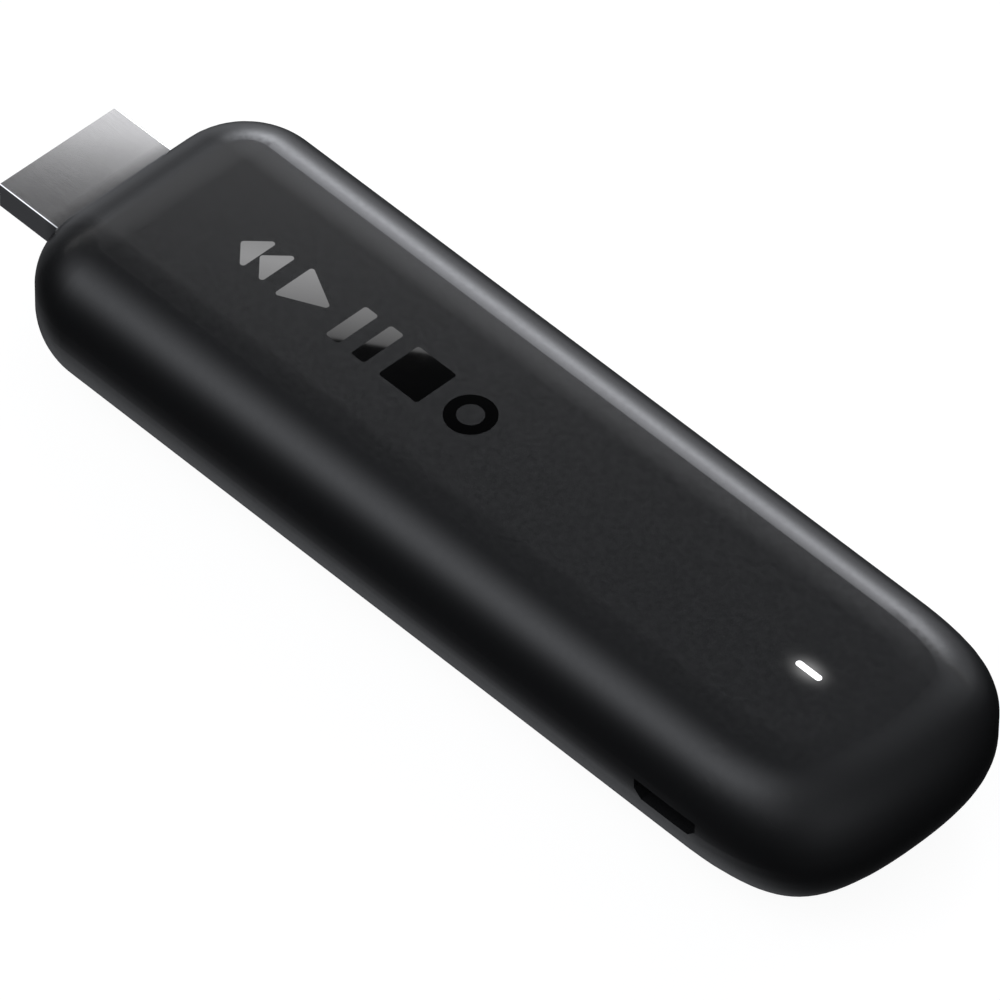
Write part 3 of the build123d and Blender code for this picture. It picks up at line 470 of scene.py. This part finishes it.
def glow_towards(tree, direction, turn, rise, sharpness, radiance):
    """A round glow on the sky: radiance * exp(sharpness * (cosine to its axis - 1)), with the
    axis turned from +X about +Z and then raised, both in degrees."""
    turn, rise = math.radians(turn), math.radians(rise)
    axis = (math.cos(rise) * math.cos(turn), math.cos(rise) * math.sin(turn), math.sin(rise))
    cosine = calculate_vector(tree, "DOT_PRODUCT", direction, axis, result="Value")
    power = calculate(tree, "MULTIPLY", calculate(tree, "SUBTRACT", cosine, 1.0), sharpness)
    return calculate(tree, "MULTIPLY", calculate(tree, "EXPONENT", power), radiance)


def make_card_glow(strength, start):
    """An emission that follows CARD_RAMP from the card's near edge, whose place along CARD_AWAY
    is start."""
    material = bpy.data.materials.new("card_glow")
    material.use_nodes = True
    tree = material.node_tree
    tree.nodes.clear()
    place = tree.nodes.new("ShaderNodeTexCoord").outputs["Object"]
    distance = calculate_vector(tree, "DOT_PRODUCT", place, CARD_AWAY, result="Value")
    ramp = tree.nodes.new("ShaderNodeValToRGB")
    stops = ramp.color_ramp.elements
    stops.remove(stops[1])
    stops[0].color = (CARD_START, CARD_START, CARD_START, 1)
    for share, level in CARD_RAMP:
        stops.new(share).color = (level, level, level, 1)
    tree.links.new(spread(tree, distance, 0, 1, start, start + CARD_FADE), ramp.inputs["Fac"])
    glow = tree.nodes.new("ShaderNodeEmission")
    tree.links.new(ramp.outputs["Color"], glow.inputs["Color"])
    glow.inputs["Strength"].default_value = strength
    output = tree.nodes.new("ShaderNodeOutputMaterial")
    tree.links.new(glow.outputs["Emission"], output.inputs["Surface"])
    return material


def add_sheet(name, corners, material):
    """A flat four-cornered face with a material, as an object of the scene."""
    mesh = bpy.data.meshes.new(name)
    mesh.from_pydata([tuple(corner) for corner in corners], [], [(0, 1, 2, 3)])
    mesh.materials.append(material)
    sheet = bpy.data.objects.new(name, mesh)
    bpy.context.collection.objects.link(sheet)
    return sheet


class STICK_OT_finishes(Operator):
    """Gives every node of the frame the finish of its material slot"""

    bl_idname = "stick.finishes"
    bl_label = "Finishes"

    def execute(self, context):
        finishes = make_finishes(context.scene.stick_finish)
        slots = {part["node"]: part["material_slot"] for part in frame["record"]["subparts"]}
        for node, piece in NODES.items():
            slot = "underside_plastic" if node == "underside_cover" else slots[node]
            for socket in piece.material_slots:
                socket.material = finishes[slot]
        return {"FINISHED"}


class STICK_OT_stage(Operator):
    """Sets up the pale floor, the sky's soft glows, the reflection card and the camera"""

    bl_idname = "stick.stage"
    bl_label = "Stage"

    def execute(self, context):
        stage = context.scene.stick_stage
        self.make_floor(stage)
        self.make_world(stage)
        self.make_reflection_card(stage)
        self.make_camera(context, stage)
        return {"FINISHED"}

    def make_floor(self, stage):
        """A plain pale floor that glows a little, so that it stays even."""
        material, _, shader, _ = new_material("pale_floor")
        shader.inputs["Base Color"].default_value = (*stage.floor_colour, 1)
        shader.inputs["Roughness"].default_value = 0.9
        shader.inputs["Specular IOR Level"].default_value = 0.0
        shader.inputs["Emission Color"].default_value = (1, 1, 1, 1)
        shader.inputs["Emission Strength"].default_value = FLOOR_GLOW
        corners = [(x * FLOOR_HALF, y * FLOOR_HALF, FLOOR_DEPTH)
                   for x, y in ((-1, -1), (1, -1), (1, 1), (-1, 1))]
        floor = add_sheet("floor", corners, material)
        floor.visible_glossy = False
        floor.visible_diffuse = False

    def make_world(self, stage):
        """A dark studio lit by soft glows, each brightest along its own direction."""
        world = bpy.data.worlds.new("studio")
        bpy.context.scene.world = world
        world.use_nodes = True
        tree = world.node_tree
        shader = tree.nodes["Background"]
        direction = tree.nodes.new("ShaderNodeTexCoord").outputs["Generated"]
        total = None
        for turn, rise, sharpness, radiance in STUDIO_GLOWS:
            part = glow_towards(tree, direction, turn, rise, sharpness, radiance * stage.glow)
            total = part if total is None else calculate(tree, "ADD", total, part)
        dark = glow_towards(tree, direction, *DARK_PATCH, -1.0)
        open_sky = calculate(tree, "ADD", dark, 1.0)
        tree.links.new(calculate(tree, "MULTIPLY", total, open_sky), shader.inputs["Strength"])
        shader.inputs["Color"].default_value = (*STUDIO_TINT, 1)

    def make_reflection_card(self, stage):
        """A small glowing card that only reflections see, bright away from its near edge."""
        edge = np.array(CARD_PLACE) + CARD_HEIGHT * np.array(MIRRORED_RAY)
        along, away = CARD_HALF * np.array(CARD_ALONG), CARD_REACH * np.array(CARD_AWAY)
        corners = [edge - along, edge + along, edge + along + away, edge - along + away]
        material = make_card_glow(stage.card_glow, float(edge @ CARD_AWAY))
        card = add_sheet("reflection_card", corners, material)
        card.visible_camera = False
        card.visible_diffuse = False
        card.visible_shadow = False

    def make_camera(self, context, stage):
        """A long-lens camera above, past the light end and on the socket's side."""
        data = bpy.data.cameras.new("camera")
        data.sensor_width = 36
        data.lens = stage.lens
        data.clip_start, data.clip_end = 0.01, 20
        camera = bpy.data.objects.new("camera", data)
        bpy.context.collection.objects.link(camera)
        camera.location = CAMERA_PLACE
        turned = Matrix((CAMERA_RIGHT, CAMERA_UP, np.cross(CAMERA_RIGHT, CAMERA_UP))).transposed()
        camera.rotation_mode = "QUATERNION"
        camera.rotation_quaternion = turned.to_quaternion()
        context.scene.camera = camera
        context.scene.view_settings.view_transform = "Standard"


class STICK_PT_panel(Panel):
    """Lists the stick's operators in the sidebar"""

    bl_idname = "STICK_PT_panel"
    bl_label = "Streaming stick"
    bl_space_type = "VIEW_3D"
    bl_region_type = "UI"
    bl_category = "Stick"

    def draw(self, context):
        for operator in OPERATORS:
            self.layout.operator(operator.bl_idname)


OPERATORS = (STICK_OT_finishes, STICK_OT_stage)
CLASSES = (StickFinish, StickStage, *OPERATORS, STICK_PT_panel)


def register():
    for cls in CLASSES:
        bpy.utils.register_class(cls)
    bpy.types.Scene.stick_finish = PointerProperty(type=StickFinish)
    bpy.types.Scene.stick_stage = PointerProperty(type=StickStage)


def unregister():
    del bpy.types.Scene.stick_stage
    del bpy.types.Scene.stick_finish
    for cls in reversed(CLASSES):
        bpy.utils.unregister_class(cls)


def main():
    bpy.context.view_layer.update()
    register()
    bpy.ops.stick.finishes()
    bpy.ops.stick.stage()


if __name__ == "__main__":
    main()
